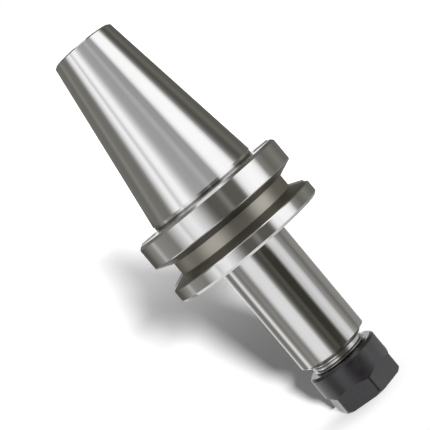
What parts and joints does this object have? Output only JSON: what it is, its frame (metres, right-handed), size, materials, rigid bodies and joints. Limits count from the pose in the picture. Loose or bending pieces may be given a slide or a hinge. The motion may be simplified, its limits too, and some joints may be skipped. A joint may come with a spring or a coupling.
{
  "type": "collet chuck holder",
  "caption": "Collet chuck holder with a steep taper shank, V-groove flange, slim nose, slit spring collet and hexagon clamping nut.",
  "frame": {"origin": "centre of the clamping nut's front face, on which the chuck stands on end", "axes": "+Z along the spindle axis towards the small end of the taper, X through the two drive key slots"},
  "size_m": [0.061, 0.063, 0.1603],
  "materials": {
    "ground_steel": "ground taper and lands, finely turned elsewhere, light oil",
    "collet_steel": "ground cones, sawn slits",
    "black_nut": "turned and milled steel with a satin black oxide",
    "black_screw": "black oxide set screw"
  },
  "bodies": {
    "holder": {"holder_body": "ground_steel"},
    "collet": {"spring_collet": "collet_steel"},
    "nut": {"clamping_nut": "black_nut"},
    "stop_screw": {"length_stop_screw": "black_screw"}
  },
  "joints": [
    {"name": "collet_travel", "type": "slide", "parent": "holder", "child": "collet", "axis": [0, 0, -1], "range_m": [0, 0.00451]},
    {"name": "nut_turn", "type": "hinge", "parent": "collet", "child": "nut", "pos_m": [0, 0, 0], "axis": [0, 0, -1], "range_deg": [0, 1080]},
    {"name": "stop_screw_travel", "type": "slide", "parent": "holder", "child": "stop_screw", "axis": [0, 0, 1], "range_m": [-0.008, 0.013]}
  ],
  "couplings": [
    {"joint": "collet_travel", "follows": "nut_turn", "m_per_rad": 0.00023873}
  ]
}
